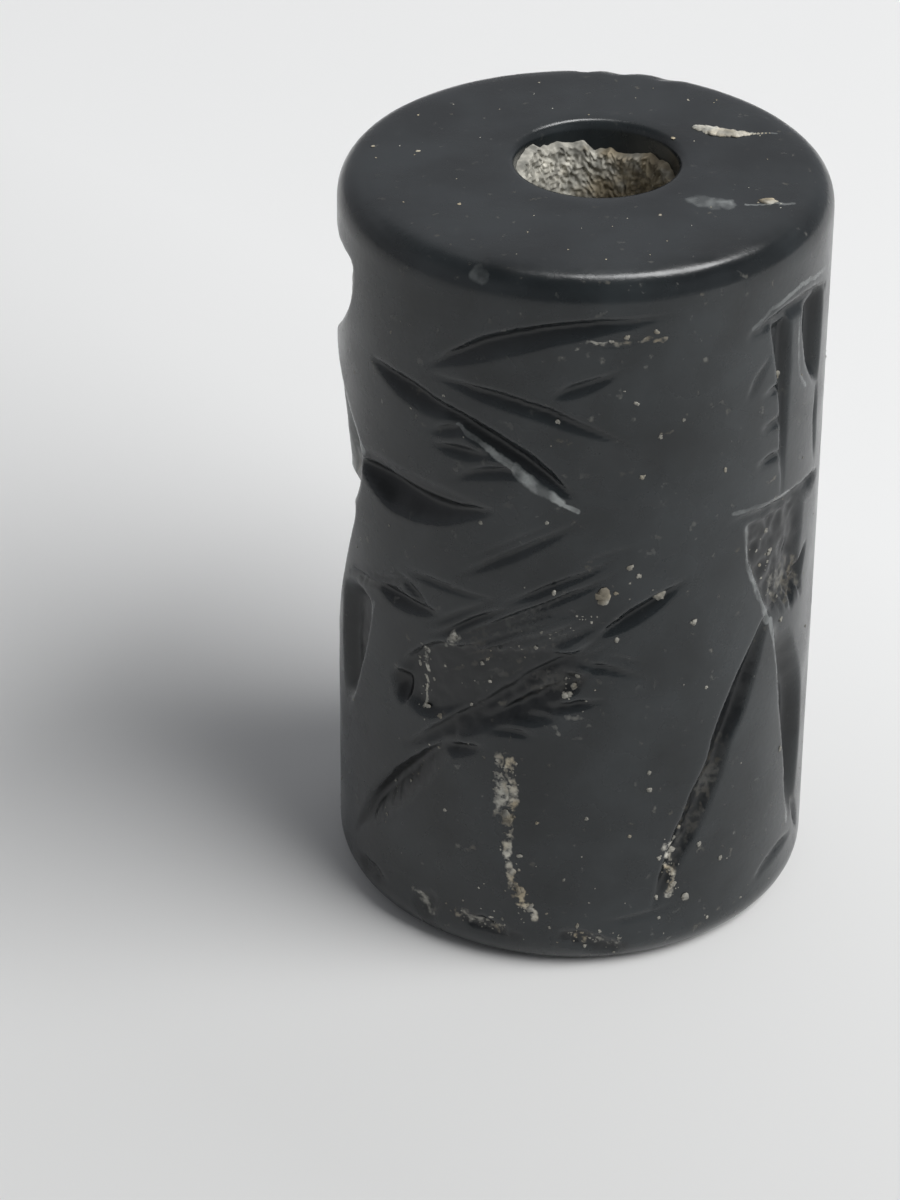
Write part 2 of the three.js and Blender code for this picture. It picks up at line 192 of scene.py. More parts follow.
def follow(start, end, bow, margin, steps=48):
    """How the skin lies about a curved line: the line is a quadratic curve between two places that bows
    to the left of its travel. Gives the corners that are near, the share of the way along it that each
    is closest to, and how far each is to the left of it and beyond its ends."""
    middle_angle = (start[0] + end[0]) / 2
    flat = unrolled([start, end], middle_angle)
    travel = flat[1] - flat[0]
    left = np.array([-travel[1], travel[0]]) / np.hypot(*travel)
    margin = margin + abs(bow) + spare
    near, points = skin_near(middle_angle, flat.min(0) - margin, flat.max(0) + margin)
    shares = np.linspace(0, 1, steps + 1)
    bulge = 4 * bow * shares * (1 - shares)
    line = flat[0] + shares[:, None] * travel + bulge[:, None] * left
    step = line[1:] - line[:-1]
    offset = points[:, None] - line[None, :-1]
    part = np.clip((offset * step).sum(2) / (step ** 2).sum(1), 0, 1)
    gap = offset - part[..., None] * step
    closest = np.argmin((gap ** 2).sum(2), axis=1)
    pick = np.arange(len(points))
    share = (closest + part[pick, closest]) / len(step)
    gap = gap[pick, closest]
    way = step[closest] / np.hypot(*step[closest].T)[:, None]
    return near, share, way[:, 0] * gap[:, 1] - way[:, 1] * gap[:, 0], np.abs((gap * way).sum(1))


def press(near, depth, rough, earth):
    """Keeps the deepest cut, and the most roughness and earth, at each corner."""
    skin_cut[near] = np.maximum(skin_cut[near], depth)
    skin_rough[near] = np.maximum(skin_rough[near], rough)
    skin_earth[near] = np.maximum(skin_earth[near], earth)


def stroke(tool, start, end, bow=0.0, full=0.5, lean=0.0, wide=1.0, deep=1.0, rough=0.0, earth=0.0):
    """Cuts one groove. Its depth and half-width grow as the sine of the run up to the share called full
    and fall off the same way. Across, the depth is 1 - |offset|^sharp, and lean moves the deepest line
    towards the left lip."""
    half_width = tool["width"] * wide / 2
    near, share, aside, beyond = follow(start, end, bow, half_width)
    run = np.where(share < full, share / full, (1 - share) / (1 - full))
    bite = np.sin(np.clip(run, 0, 1) * np.pi / 2)
    local_half = np.maximum(half_width * bite, 1e-6)
    apex = lean * local_half
    offset_share = np.where(aside > apex, (aside - apex) / np.maximum(local_half - apex, 1e-6),
                            (apex - aside) / np.maximum(local_half + apex, 1e-6))
    section = (1 - np.clip(offset_share, 0, 1) ** tool["sharp"]) * (beyond < 0.02)
    inside = soft_step(section * 3) * bite
    press(near, tool["depth"] * deep * bite * section, rough * inside, earth * inside)


def hollow(outline, middle, depth, flat=0.6, rough=0.0, earth=0.0):
    """Sinks a hollow with a many-sided outline. A corner's share is the soft maximum, over the sides, of
    its distance outwards over the side's own distance from the middle. The floor is flat up to the
    share called flat and climbs by a soft step to the lip at 1, so the nearest side is the steepest."""
    centre = unrolled([middle], middle[0])[0]
    corners = unrolled(outline, middle[0]) - centre
    side = np.roll(corners, -1, axis=0) - corners
    outwards = np.stack([side[:, 1], -side[:, 0]], 1) / np.hypot(*side.T)[:, None]
    distance = (corners * outwards).sum(1)
    outwards, distance = outwards * np.sign(distance)[:, None], np.abs(distance)
    near, points = skin_near(middle[0], corners.min(0) + centre - spare, corners.max(0) + centre + spare)
    ratio = np.clip((points - centre) @ outwards.T / distance, 0, None)
    share = (ratio ** 9).sum(1) ** (1 / 9)
    floor_share = 1 - soft_step((share - flat) / (1 - flat))
    press(near, depth * floor_share, rough * floor_share, earth * floor_share)


def dish(degrees, height, wide, tall, depth, tilt=0.0, rough=0.5, earth=0.0, shake=3):
    """Takes a shallow dish out of the skin, as a lost flake or a worn place leaves: its depth is 1 - the
    squared distance in widths and heights, tilt turns it in degrees, and shake frays its outline."""
    around = (skin_angle - degrees + 180) % 360 - 180
    across = np.radians(around) * stone_radius + shake * wander_across
    up = skin_level - height / 100 * stone_length + shake * wander_up
    cosine, sine = np.cos(np.radians(tilt)), np.sin(np.radians(tilt))
    along, aside = across * cosine + up * sine, up * cosine - across * sine
    bowl = np.clip(1 - (2 * along / wide) ** 2 - (2 * aside / tall) ** 2, 0, None)
    inside = soft_step(bowl * 4)
    press(slice(None), depth * bowl, rough * inside, earth * inside)


def scratches(low_start, low_end, high_start, high_end, count, seed):
    """Fine marks that run side by side between a low line and a high one, each over a part of the way."""
    random = np.random.default_rng(seed)
    low = np.array([low_start, low_end], float)
    high = np.array([high_start, high_end], float)
    for lift in (np.arange(count) + random.uniform(0.1, 0.9, count)) / count:
        line = low + (high - low) * lift
        begin = random.uniform(0, 0.3)
        finish = begin + random.uniform(0.45, 0.7)
        stroke(scratch_point, line[0] + (line[1] - line[0]) * begin,
               line[0] + (line[1] - line[0]) * finish,
               wide=random.uniform(0.7, 1.2), deep=random.uniform(2.6, 4.4), earth=0.1)


def open_wing():
    """Long strokes that fan out to the right from one point, and the short ones under them."""
    root = (-41, 84.2)
    stroke(medium_graver, root, (22, 94.8), bow=0.62, full=0.36, lean=0.3, wide=1.35, deep=1.3)
    stroke(scratch_point, (-3, 91.6), (16, 92.1), wide=1.2, earth=0.12)
    stroke(fine_graver, root, (16, 75.6), bow=0.46, full=0.42, lean=0.3, wide=1.5, deep=1.5)
    stroke(fine_graver, (-9.5, 84.1), (10, 88.6), full=0.35, wide=1.3, deep=1.3)
    stroke(broad_graver, (-59, 82), (-26, 78.6), full=0.45, wide=0.8, deep=0.9, lean=0.2)
    stroke(broad_graver, (-45, 81.6), (-1, 70.2), bow=0.26, full=0.6, wide=0.95, deep=1.15)
    stroke(fine_graver, (-39, 75.9), (-26, 78.8), full=0.5, wide=1.3, deep=1.4)
    stroke(fine_graver, (-38, 74.5), (-19, 75.2), full=0.4, wide=1.25, deep=1.4)
    stroke(fine_graver, (-33, 69.7), (-9.5, 72.2), bow=0.42, wide=1.3, deep=1.3)
    dish(7, 74, 2.4, 1.7, 0.08, rough=0.1)


def reaching_arm():
    """The deep boat-shaped arm that reaches in from the left, and the folds below it."""
    stroke(large_wheel, (-67, 66), (-19.5, 67.9), bow=-0.36, full=0.33, wide=0.98, deep=1.7)
    stroke(small_wheel, (-66, 67.6), (-20, 68), full=0.4, wide=0.85, deep=0.5)
    stroke(fine_graver, (-32, 56.6), (1, 68), wide=1.3, deep=1.3)
    stroke(scratch_point, (-29, 59.3), (-3, 68.4), wide=1.2, deep=1.3)
    stroke(medium_graver, (-57, 50.4), (-33, 51), bow=-0.14, full=0.4, wide=1.1, deep=1.3)
    stroke(fine_graver, (-73, 47.1), (-54, 50), bow=0.1, wide=0.9)
    stroke(fine_graver, (-68, 47.6), (-44, 52.3), full=0.6, wide=0.7)
    stroke(fine_graver, (-50, 54.2), (-37, 50.2), bow=0.08, wide=0.9, deep=1.1)
    stroke(scratch_point, (-61, 50.4), (-40, 53.9), wide=1.2, deep=1.3)
    stroke(fine_graver, (-47, 55.2), (-18, 54.7), full=0.35, wide=0.8)
    stroke(scratch_point, (-40, 47.9), (-17, 56.2), full=0.4, wide=1.1, deep=2)
    stroke(fine_graver, (-39, 46.4), (-15, 54.9), full=0.5, wide=0.8, deep=2)
    stroke(scratch_point, (-22, 53.6), (13, 63.6), full=0.4, wide=1.3, deep=2.4)
    stroke(scratch_point, (-3, 60.5), (15, 63.4), bow=0.15, wide=1.3)


def rearing_beast():
    """A beast rearing from the lower left to the middle: long body, bent leg, wing and horns."""
    hollow([(-50.5, 45.5), (-37, 46.4), (-19, 54), (2, 61.3), (16, 63), (24, 58.5), (8, 50), (-12, 43),
            (-32, 33.5), (-46, 33.5)], (-20, 46.5), 0.22, flat=0.86, rough=0.45)
    scratches((-40, 36), (16, 54.2), (-44, 45), (14, 62), 13, 31)
    dish(-46.5, 37.7, 0.8, 1.1, 0.34, rough=0.8)
    stroke(broad_graver, (-68, 8.5), (-27, 35), bow=-0.05, lean=0.6, wide=1.25, deep=1.2, rough=0.6)
    stroke(broad_graver, (-47, 28), (7, 50), full=0.55, lean=0.45, wide=1.2, deep=1.15, rough=0.8)
    stroke(broad_graver, (-31, 34), (3, 45.8), full=0.6, wide=1.1, deep=1.3, rough=0.8)
    stroke(medium_graver, (-26, 39), (3, 49.6), full=0.6, wide=0.9, deep=2, rough=0.6)
    stroke(medium_graver, (-39, 29.8), (-22, 32.9), wide=0.9, deep=1.2)
    stroke(medium_graver, (-20, 38.6), (8, 41.7), full=0.4, wide=0.85, deep=1.1, rough=0.7)
    dish(-6, 43.4, 1.9, 0.9, 0.3, tilt=18, rough=1, earth=0.1)
    stroke(medium_graver, (-17, 37.1), (-4.5, 38.8), bow=0.1, wide=0.85, deep=1.1)
    stroke(fine_graver, (-24, 35), (-9, 35.2), bow=0.18, wide=1.1, deep=1.2)
    stroke(fine_graver, (-6, 45.5), (5, 51.2), wide=1.2)
    stroke(fine_graver, (-5, 46.9), (18, 42.9), bow=0.22, full=0.3, wide=1.1, deep=1.2)
    stroke(scratch_point, (5, 46.8), (12.5, 44.4), wide=1.1, deep=1.3)
    stroke(scratch_point, (4, 48.5), (16, 46.1), wide=1.1, deep=1.3)
    stroke(medium_graver, (2, 50.4), (26, 57.9), full=0.45, wide=1, deep=1.2)
    stroke(scratch_point, (-9, 53.2), (2, 55.1), wide=1.6)


def striding_figure():
    """A figure in a long robe, striding to the right: headdress, face, belt, skirt and two legs."""
    stroke(medium_graver, (37, 89.2), (76, 88.2), bow=0.22, lean=0.3, wide=1.1, deep=1.1)
    stroke(scratch_point, (37.5, 89.2), (43.5, 89.9), wide=1.3)
    hollow([(45.3, 90.2), (53.7, 90.4), (53.2, 79), (50.8, 76.5)], (51, 86), 0.28, flat=0.45)
    stroke(medium_graver, (51.3, 90.5), (53.2, 63.6), full=0.15, wide=0.9, deep=1.3)
    stroke(scratch_point, (39, 80.4), (46.5, 85.6), wide=1.5, deep=1.2)
    beard_top, lock_pitch = 80.2, 4.9
    for lock, reach in enumerate((8, 9, 10)):
        height = beard_top - lock * lock_pitch
        stroke(fine_graver, (54 - reach - 2, height), (54, height), full=0.6, deep=1.2)
    hollow([(58, 88.5), (60, 90.3), (71.5, 90), (72.5, 82), (71.5, 75.5), (69, 75.2), (61, 80.6)],
           (66, 84), 0.4, flat=0.5)
    stroke(fine_graver, (70, 77.5), (71.8, 63.5))
    stroke(medium_graver, (32, 64.3), (76, 61.1), full=0.85, lean=0.3, wide=1.15, deep=1.1)
    hollow([(40, 63.2), (66, 62.3), (67, 57), (62, 46.5), (54, 45.5), (49, 47), (45.5, 52.5), (41, 57)],
           (47, 57.5), 0.17, flat=0.75, rough=0.9)
    for fold in range(5):
        top = 50 + fold * 2.6
        stroke(scratch_point, (top, 55), (top + 7, 45.5), wide=1.4, deep=3.6, earth=0.3)
    stroke(medium_graver, (69.5, 53.5), (61, 45.3), bow=-0.15, full=0.6, wide=1.2, deep=1.3)
    stroke(small_wheel, (52, 49.5), (30, 23), bow=-0.12, full=0.5, lean=0.5, wide=1.1, deep=1.6, rough=0.5)
    stroke(small_wheel, (43, 38), (18, 7.5), bow=-0.1, full=0.45, lean=0.3, wide=1.05, deep=1.2, rough=0.8,
           earth=0.12)
    hollow([(52, 47), (66, 10.5), (71.5, 11.5), (74, 22), (71, 33), (62, 43)], (65, 28), 0.42, flat=0.45)
    stroke(fine_graver, (68, 15), (77, 6.2), deep=1.2)
    stroke(fine_graver, (48.5, 6.6), (70, 8.6), bow=0.15, full=0.6, wide=1.1, deep=1.1)


def facing_figure():
    """A second figure on the left edge, seen from the side: a deep head, body and robe."""
    hollow([(-66.5, 92.6), (-69.5, 85.5), (-86, 77.6), (-106, 74.5), (-115, 84), (-108, 93)],
           (-88, 86), 0.4, flat=0.76, rough=0.5, earth=0.2)
    hollow([(-96, 76.8), (-85, 77), (-62, 68.7), (-63.5, 59.5), (-84, 50), (-112, 49.5), (-103, 66.5)],
           (-82, 63.5), 0.75, flat=0.4, rough=0.9, earth=0.5)
    hollow([(-63.5, 60), (-68, 51.7), (-77, 43.2), (-85, 34), (-100, 32.5), (-118, 39), (-121, 46),
            (-113, 52), (-90, 62)], (-90, 47.5), 0.7, flat=0.45, rough=0.6, earth=0.2)
    hollow([(-57.5, 47), (-59, 42.9), (-63, 36), (-67, 30.5), (-70, 27.5), (-76, 27), (-79, 36),
            (-76, 45), (-66, 48.5)], (-65.5, 38.5), 0.36, flat=0.62, rough=0.2)
    stroke(large_wheel, (-112, 33), (-108, 9), full=0.4)
    stroke(large_wheel, (-98, 30), (-94, 9), full=0.4)
    stroke(medium_graver, (-116, 7.6), (-90, 7.6))
    stroke(broad_graver, (-117, 79), (-141, 65), bow=0.3, full=0.4)


def leafy_plant(degrees):
    """A plant between the figures: one stem with five pairs of slanting leaves."""
    stroke(medium_graver, (degrees, 6), (degrees, 62), full=0.3)
    for pair in range(5):
        height = 16 + 8.2 * pair
        spread = 13 * (1 - 0.09 * pair)
        for side in (-1, 1):
            stroke(medium_graver, (degrees, height), (degrees + side * spread, height + 7))


def star(degrees, height, ray_length=1.5):
    """A star of four crossing strokes."""
    for turn in np.arange(4) * np.pi / 4:
        aside = np.degrees(ray_length * np.cos(turn) / stone_radius)
        aloft = 100 * ray_length * np.sin(turn) / stone_length
        stroke(fine_graver, (degrees - aside, height - aloft), (degrees + aside, height + aloft))


def back_of_scene():
    """The plainer back: a plant, a crescent, a star, a staff with two cross-strokes and a small beast."""
    leafy_plant(-160)
    stroke(large_wheel, (-174, 84), (-146, 84), bow=-0.55, wide=0.8)
    star(-196, 80)
    stroke(broad_graver, (-200, 62), (-208, 9), full=0.3)
    stroke(medium_graver, (-213, 57), (-190, 54), bow=0.15)
    stroke(medium_graver, (-215, 50), (-192, 47), bow=0.15)
    stroke(broad_graver, (-226, 88), (-256, 74), bow=0.4, full=0.4)
    stroke(medium_graver, (-228, 79), (-252, 68), bow=0.3, full=0.4)
    stroke(small_wheel, (-232, 14), (-262, 45), rough=0.6)
    stroke(medium_graver, (-240, 40), (-262, 57))


def ground_line():
    """The line that the figures stand on, cut here and there."""
    stroke(scratch_point, (3, 7.2), (27, 8.6), wide=1.3, deep=1.3)
    stroke(scratch_point, (-200, 6), (-150, 5.6), wide=1.4)


def edge_chips():
    """Flakes lost from the bottom edge and small dents in the rim of the top."""
    dish(5, 4.4, 2.2, 0.6, 0.16, tilt=-16, rough=0.8)
    dish(-22, 5.6, 2.2, 0.5, 0.13, tilt=-10, rough=0.8)
    dish(-38.5, 5.9, 1.0, 0.8, 0.14, tilt=40)
    dish(-59, 5.4, 1.8, 0.5, 0.12)
    dish(118, 3.6, 1.6, 0.8, 0.12, earth=0.3)
    for degrees in (158, 170, 179):
        dish(degrees, 100.5, 0.8, 0.7, 0.07)


open_wing()
reaching_arm()
rearing_beast()
striding_figure()
facing_figure()
back_of_scene()
ground_line()
edge_chips()


def worn(cut):
    """The cuts with their lips and bottoms rubbed soft: half each corner's depth and half the mean of its
    four neighbours'."""
    beside = np.roll(cut, 1, axis=1) + np.roll(cut, -1, axis=1)
    stacked = np.roll(cut, 1, axis=0) + np.roll(cut, -1, axis=0)
    return 0.5 * cut + 0.125 * (beside + stacked)


def skin_points():
    """Every corner of the skin in millimetres: its profile point carried round the middle that its row
    turns about, then pushed in against its outward direction by the cut and by the fine unevenness of
    the stone, which is worn on the wall and rougher in the cuts."""
    share, radius, height, out, rise = (rows[:, i][:, None] for i in range(5))
    outwards = np.stack([np.sin(np.radians(skin_angle)), -np.cos(np.radians(skin_angle))], -1)
    uneven = 0.008 * wall_noise(2.6, 21) + 0.003 * wall_noise(0.8, 22)
    chatter = 0.05 * wall_noise(0.34, 23) + 0.03 * wall_noise(0.17, 24)
    rubbed_off, faces_out = 0.012, 0.05
    cut = worn(skin_cut) + rubbed_off + uneven + skin_rough * chatter * (skin_cut > 0.01)
    cut = cut * (out > faces_out)
    flat = share[..., None] * bore_middle + (radius - cut * out)[..., None] * outwards
    return np.concatenate([flat, (height - cut * rise + 0 * skin_angle)[..., None]], -1)


def closed_skin(points):
    """Four-cornered faces between neighbouring rows and columns, with the last of each joined to the
    first, wound so that they face out of the stone."""
    row_count, column_count = points.shape[:2]
    corner = np.arange(row_count * column_count).reshape(row_count, column_count)
    across = np.roll(corner, -1, axis=1)
    up = np.roll(corner, -1, axis=0)
    both = np.roll(across, -1, axis=0)
    return np.stack([corner, across, both, up], -1).reshape(-1, 4)


def mesh_piece(name, points, faces, material, marks=None):
    """A smooth-shaded object at the origin from corners in millimetres and an array of faces. Marks are
    named values at the corners, for the material to read."""
    mesh = bpy.data.meshes.new(name)
    mesh.from_pydata((points.reshape(-1, 3) * MILLIMETRE).tolist(), [], faces.tolist())
    mesh.polygons.foreach_set("use_smooth", np.ones(len(mesh.polygons), bool))
    for mark, values in (marks or {}).items():
        mesh.attributes.new(mark, "FLOAT", "POINT").data.foreach_set("value", values.ravel())
    mesh.materials.append(material)
    piece = bpy.data.objects.new(name, mesh)
    bpy.context.scene.collection.objects.link(piece)
    return piece


def new_material(name):
    """A node material, its tree, its Principled shader and the object's own coordinates."""
    material = bpy.data.materials.new(name)
    material.use_nodes = True
    tree = material.node_tree
    place = tree.nodes.new("ShaderNodeTexCoord").outputs["Object"]
    return material, tree, tree.nodes["Principled BSDF"], place


def noise(tree, place, scale, detail=3.0, stretch=(1, 1, 1)):
    """Noise from 0 to 1, with its cells stretched by a share each way."""
    mapping = tree.nodes.new("ShaderNodeMapping")
    mapping.inputs["Scale"].default_value = stretch
    texture = tree.nodes.new("ShaderNodeTexNoise")
    texture.inputs["Scale"].default_value = scale
    texture.inputs["Detail"].default_value = detail
    tree.links.new(place, mapping.inputs["Vector"])
    tree.links.new(mapping.outputs["Vector"], texture.inputs["Vector"])
    return texture.outputs["Fac"]


def remap(tree, value, low, high, to_low=0.0, to_high=1.0):
    """A value carried from one range to another and held inside it."""
    node = tree.nodes.new("ShaderNodeMapRange")
    for name, number in (("From Min", low), ("From Max", high), ("To Min", to_low), ("To Max", to_high)):
        node.inputs[name].default_value = number
    tree.links.new(value, node.inputs["Value"])
    return node.outputs["Result"]


def mathematics(tree, operation, *values):
    """One step of arithmetic on values or plain numbers."""
    node = tree.nodes.new("ShaderNodeMath")
    node.operation = operation
    for socket, value in zip(node.inputs, values):
        if isinstance(value, (int, float)):
            socket.default_value = value
        else:
            tree.links.new(value, socket)
    return node.outputs[0]


def multiply(tree, first, second):
    """Two values, or a value and a plain number, multiplied."""
    return mathematics(tree, "MULTIPLY", first, second)


def mottled(tree, place, scale, detail, low, high, to_low=0.0, to_high=1.0):
    """Noise whose part between two levels is carried to another range and held inside it."""
    return remap(tree, noise(tree, place, scale, detail), low, high, to_low, to_high)


def separated(tree, place):
    """The three coordinates of a place, each as an output."""
    node = tree.nodes.new("ShaderNodeSeparateXYZ")
    tree.links.new(place, node.inputs["Vector"])
    return node.outputs


def two_tones(tree, share, first, second):
    """A colour between two, by a share. Either may be a colour or an output."""
    node = tree.nodes.new("ShaderNodeMix")
    node.data_type = "RGBA"
    tree.links.new(share, node.inputs["Factor"])
    for socket, colour in ((node.inputs[6], first), (node.inputs[7], second)):
        if isinstance(colour, tuple):
            socket.default_value = (*colour, 1)
        else:
            tree.links.new(colour, socket)
    return node.outputs[2]


def relief(tree, height, strength, distance):
    """A bumped normal from a height."""
    bump = tree.nodes.new("ShaderNodeBump")
    bump.inputs["Strength"].default_value = strength
    bump.inputs["Distance"].default_value = distance * MILLIMETRE
    tree.links.new(height, bump.inputs["Height"])
    return bump.outputs["Normal"]


def earth_tone_group():
    """The tone of dried earth, for the stone, the bore and the crumbs: whitish where it is limy and tan
    where it is clayey, in grains and blotches. Lime from 0 to 1 is how much of it is whitish."""
    tree = bpy.data.node_groups.new("earth_tone", "ShaderNodeTree")
    tree.interface.new_socket("Place", in_out="INPUT", socket_type="NodeSocketVector")
    lime = tree.interface.new_socket("Lime", in_out="INPUT", socket_type="NodeSocketFloat")
    lime.default_value = 0.5
    tree.interface.new_socket("Color", in_out="OUTPUT", socket_type="NodeSocketColor")
    inside = tree.nodes.new("NodeGroupInput")
    outside = tree.nodes.new("NodeGroupOutput")
    place = inside.outputs["Place"]
    blotch = noise(tree, place, 900, 3)
    limy = mathematics(tree, "ADD", inside.outputs["Lime"], remap(tree, blotch, 0.35, 0.65, -0.4, 0.4))
    clay = two_tones(tree, mottled(tree, place, 2600, 4, 0.35, 0.65),
                     (0.2, 0.17, 0.12), (0.45, 0.39, 0.28))
    chalk = two_tones(tree, mottled(tree, place, 3400, 4, 0.35, 0.65),
                      (0.27, 0.265, 0.235), (0.6, 0.58, 0.51))
    tree.links.new(two_tones(tree, remap(tree, limy, 0.3, 0.7), clay, chalk), outside.inputs["Color"])
    return tree


earth_tone = earth_tone_group()


def earth_colour(tree, place, lime):
    """The dried earth's colour, from its group."""
    node = tree.nodes.new("ShaderNodeGroup")
    node.node_tree = earth_tone
    tree.links.new(place, node.inputs["Place"])
    if isinstance(lime, float):
        node.inputs["Lime"].default_value = lime
    else:
        tree.links.new(lime, node.inputs["Lime"])
    return node.outputs["Color"]


def mark_value(tree, name):
    """A value that the mesh carries at its corners."""
    attribute = tree.nodes.new("ShaderNodeAttribute")
    attribute.attribute_name = name
    return attribute.outputs["Fac"]


def streak_group():
    """How far inside a straight streak a place is, from 1 along its middle to 0 at its sides: the place's
    distance from the line between two ends, over the half width."""
    tree = bpy.data.node_groups.new("streak", "ShaderNodeTree")
    for socket in ("Place", "Start", "End"):
        tree.interface.new_socket(socket, in_out="INPUT", socket_type="NodeSocketVector")
    tree.interface.new_socket("Half Width", in_out="INPUT", socket_type="NodeSocketFloat")
    tree.interface.new_socket("Mask", in_out="OUTPUT", socket_type="NodeSocketFloat")
    inside = tree.nodes.new("NodeGroupInput")
    outside = tree.nodes.new("NodeGroupOutput")

    def vectors(operation, first, second, output="Vector"):
        node = tree.nodes.new("ShaderNodeVectorMath")
        node.operation = operation
        tree.links.new(first, node.inputs[0])
        tree.links.new(second, node.inputs["Scale"] if operation == "SCALE" else node.inputs[1])
        return node.outputs[output]

    offset = vectors("SUBTRACT", inside.outputs["Place"], inside.outputs["Start"])
    travel = vectors("SUBTRACT", inside.outputs["End"], inside.outputs["Start"])
    part = mathematics(tree, "DIVIDE", vectors("DOT_PRODUCT", offset, travel, "Value"),
                       vectors("DOT_PRODUCT", travel, travel, "Value"))
    part = remap(tree, part, 0.0, 1.0)
    away = vectors("DISTANCE", offset, vectors("SCALE", travel, part), "Value")
    away = mathematics(tree, "DIVIDE", away, inside.outputs["Half Width"])
    tree.links.new(remap(tree, away, 0.55, 1.0, 1.0, 0.0), outside.inputs["Mask"])
    return tree


streak = streak_group()


def on_wall(lines):
    """Streaks given in degrees and hundredths of the length, as millimetres on the unrolled wall."""
    return [(unrolled(start, 0.0), unrolled(end, 0.0), *rest) for start, end, *rest in lines]


def chained(places, widths, strengths):
    """A run of streaks from place to place, each with its own half width and strength."""
    return list(zip(places[:-1], places[1:], widths, strengths))


def top_place(tree, place, ragged):
    """The top's own flat coordinates in millimetres, to the right and back, shaken by noise."""
    split = separated(tree, place)
    flat = tree.nodes.new("ShaderNodeCombineXYZ")
    for axis, cells in (("X", 2300), ("Y", 2700)):
        shake = mottled(tree, place, cells, 5, 0.2, 0.8, -ragged, ragged)
        tree.links.new(mathematics(tree, "MULTIPLY_ADD", split[axis], 1 / MILLIMETRE, shake),
                       flat.inputs[axis])
    return flat.outputs["Vector"], split["Z"]


def unrolled_place(tree, place, ragged):
    """The wall's own flat coordinates in millimetres, across from the front and up, shaken by noise."""
    split = separated(tree, place)
    turn = mathematics(tree, "ARCTAN2", split["X"], multiply(tree, split["Y"], -1.0))
    flat = tree.nodes.new("ShaderNodeCombineXYZ")
    for axis, value, scale, cells in (("X", turn, stone_radius, 2100),
                                      ("Y", split["Z"], 1 / MILLIMETRE, 2500)):
        shake = mottled(tree, place, cells, 5, 0.2, 0.8, -ragged, ragged)
        tree.links.new(mathematics(tree, "MULTIPLY_ADD", value, scale, shake), flat.inputs[axis])
    return flat.outputs["Vector"]


def streaks(tree, flat, lines):
    """The strongest of several streaks. Each is (start, end, half width, strength), in millimetres."""
    strongest = 0.0
    for start, end, half_width, strength in lines:
        node = tree.nodes.new("ShaderNodeGroup")
        node.node_tree = streak
        tree.links.new(flat, node.inputs["Place"])
        node.inputs["Start"].default_value = (*start, 0)
        node.inputs["End"].default_value = (*end, 0)
        node.inputs["Half Width"].default_value = half_width
        strongest = mathematics(tree, "MAXIMUM", strongest,
                                multiply(tree, node.outputs["Mask"], strength))
    return strongest


